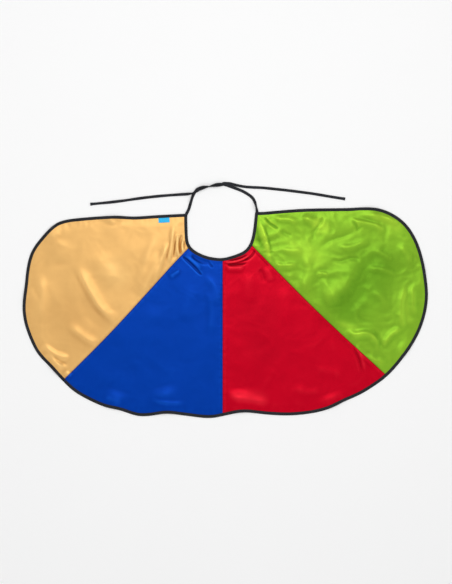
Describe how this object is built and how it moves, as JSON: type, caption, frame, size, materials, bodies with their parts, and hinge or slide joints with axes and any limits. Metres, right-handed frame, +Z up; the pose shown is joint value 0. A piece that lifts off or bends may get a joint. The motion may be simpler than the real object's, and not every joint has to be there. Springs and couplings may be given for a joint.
{
  "type": "superhero cape",
  "caption": "Child's fan-shaped superhero cape in coloured satin panels with black bias binding, tie strings in a half-knot and a small side label, laid out flat.",
  "frame": {"origin": "on the surface that the cape lies on, under the middle of the rectangle round its cloth and bindings, ties left out", "axes": "+X from the gold wing to the green wing, +Y from the hem to the neckline, +Z up, out of the face with the label"},
  "size_m": [1.0998, 0.643, 0.0061],
  "materials": {
    "gold_satin": "polyester satin, soft sheen",
    "blue_satin": "polyester satin, soft sheen",
    "red_satin": "polyester satin, soft sheen",
    "green_satin": "polyester satin, soft sheen",
    "black_binding": "folded polycotton bias tape",
    "black_thread": "spun polyester thread",
    "cyan_label": "plain woven label"
  },
  "bodies": {
    "left_half": {"panel_gold": "gold_satin", "panel_blue": "blue_satin", "seam_thread_gold_blue": "black_thread", "seam_thread_blue_red": "black_thread", "outer_binding_left_wing": "black_binding", "outer_binding_left_hem": "black_binding", "outer_stitching_left_wing": "black_thread", "outer_stitching_left_hem": "black_thread", "neck_binding_left": "black_binding", "neck_stitching_left": "black_thread", "left_strap": "black_binding", "left_tie_in_knot": "black_binding", "right_tie_in_knot": "black_binding"},
    "right_half": {"panel_red": "red_satin", "panel_green": "green_satin", "seam_thread_red_green": "black_thread", "outer_binding_right": "black_binding", "outer_stitching_right": "black_thread", "neck_binding_right": "black_binding", "neck_stitching_right": "black_thread", "right_strap": "black_binding"},
    "label": {"side_label": "cyan_label"},
    "left_tie_end": {"left_tail": "black_binding"},
    "right_tie_end": {"right_tail": "black_binding"}
  },
  "joints": [
    {"name": "centre_fold", "type": "hinge", "parent": "left_half", "child": "right_half", "pos_m": [-0.00715, 0, 0.0032], "axis": [0, -1, 0], "range_deg": [0, 165]},
    {"name": "label_flip", "type": "hinge", "parent": "left_half", "child": "label", "pos_m": [-0.16658, 0.257, 0.0029], "axis": [-0.9987, -0.051, 0], "range_deg": [0, 150]},
    {"name": "left_tail_swing", "type": "hinge", "parent": "left_half", "child": "left_tie_end", "pos_m": [-0.08715, 0.32411, 0.0046], "axis": [0, 0, -1], "range_deg": [0, 55]},
    {"name": "right_tail_swing", "type": "hinge", "parent": "right_half", "child": "right_tie_end", "pos_m": [-0.0027, 0.35322, 0.0014], "axis": [0, 0, 1], "range_deg": [0, 75]}
  ]
}
